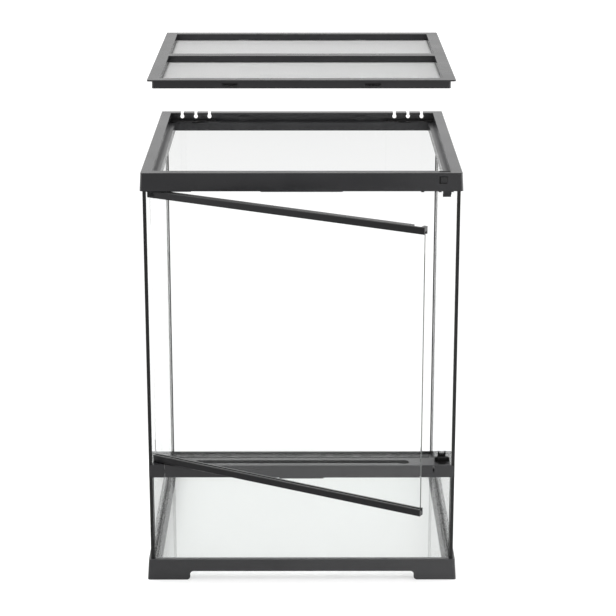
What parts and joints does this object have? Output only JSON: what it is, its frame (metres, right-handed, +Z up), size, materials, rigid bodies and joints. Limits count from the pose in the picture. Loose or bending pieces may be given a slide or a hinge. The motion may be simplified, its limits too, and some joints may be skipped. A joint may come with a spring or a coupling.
{
  "type": "terrarium",
  "caption": "Upright glass terrarium with a black base and top frame, a glass front door hinged at the left, a vent strip under it and a lift-off mesh lid.",
  "frame": {"origin": "middle of the object's footprint on the ground, with the door open as pictured", "axes": "+Z up, front of the tank towards -Y, door hinged at -X"},
  "size_m": [0.4608, 0.657, 0.751],
  "materials": {
    "frame_plastic": "fine matte moulded, charcoal",
    "strip_plastic": "satin moulded, dark grey",
    "door_plastic": "satin moulded, near black",
    "black_plastic": "matte moulded, black",
    "silicone": "black sealant",
    "clear_glass": "clear float glass",
    "steel": "turned",
    "coated_mesh": "fine mesh, coated black",
    "mesh_steel": "fine stainless mesh"
  },
  "bodies": {
    "tank": {"base_frame": "frame_plastic", "top_frame": "frame_plastic", "lower_hinge_block": "frame_plastic", "vent_strip": "strip_plastic", "upper_hinge_block": "black_plastic", "lower_door_catch": "black_plastic", "upper_door_catch": "black_plastic", "left_edge_strip": "silicone", "right_edge_strip": "silicone", "rear_left_seam": "silicone", "rear_right_seam": "silicone", "kick_left_seam": "silicone", "kick_right_seam": "silicone", "floor_seam": "silicone", "floor_glass": "clear_glass", "left_glass": "clear_glass", "right_glass": "clear_glass", "rear_glass": "clear_glass", "front_kick_glass": "clear_glass", "lower_hinge_pin": "steel", "upper_hinge_pin": "steel", "vent_mesh": "coated_mesh"},
    "door": {"door_glass": "clear_glass", "door_top_rail": "door_plastic", "door_bottom_rail": "door_plastic"},
    "lid": {"lid_frame": "frame_plastic", "front_mesh": "mesh_steel", "rear_mesh": "mesh_steel", "mesh_retainer": "black_plastic"},
    "left_slider": {"left_inlet_slider": "black_plastic"},
    "right_slider": {"right_inlet_slider": "black_plastic"}
  },
  "joints": [
    {"name": "door_hinge", "type": "hinge", "parent": "tank", "child": "door", "pos_m": [-0.2128, -0.11362, 0.38], "axis": [0, 0, 1], "range_deg": [-65.8, 29.2]},
    {"name": "lid_lift", "type": "slide", "parent": "tank", "child": "lid", "axis": [0, 0, 1], "range_m": [-0.1277, 0.05]},
    {"name": "left_inlet_slide", "type": "slide", "parent": "tank", "child": "left_slider", "axis": [1, 0, 0], "range_m": [0, 0.011]},
    {"name": "right_inlet_slide", "type": "slide", "parent": "tank", "child": "right_slider", "axis": [-1, 0, 0], "range_m": [0, 0.011]}
  ]
}
